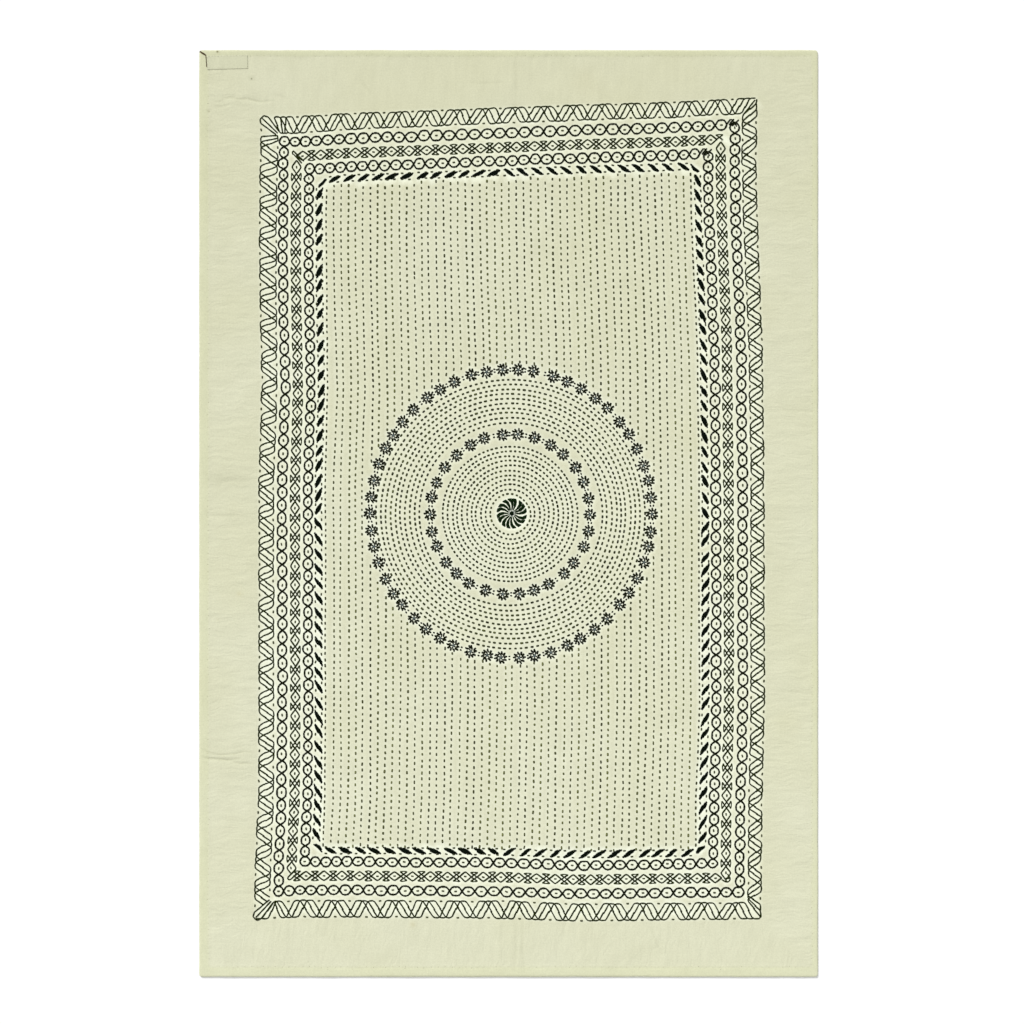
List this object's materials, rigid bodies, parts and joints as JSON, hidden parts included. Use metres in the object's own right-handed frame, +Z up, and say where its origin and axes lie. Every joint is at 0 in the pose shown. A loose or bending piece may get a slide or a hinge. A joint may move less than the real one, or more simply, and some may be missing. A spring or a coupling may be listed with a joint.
{
  "type": "kantha quilt",
  "caption": "Flat quilted cotton cover with an embroidered border of chains, lozenges and zigzags around a field of running stitch and a round medallion.",
  "frame": {"origin": "under the middle of the quilt, on the surface it lies on", "axes": "+Z up, out of the stitched face; +Y along the quilt, to the edge with the label; +X to its right edge"},
  "size_m": [0.91, 1.363, 0.0039],
  "materials": {
    "quilted_cotton": "pale cream-green plain-woven cotton, matt, quilted by hand with dark green and navy thread",
    "label_tape": "blank cream woven cotton tape, matt"
  },
  "bodies": {
    "root": {"quilt_cloth": "quilted_cotton", "corner_label": "label_tape"}
  },
  "joints": []
}
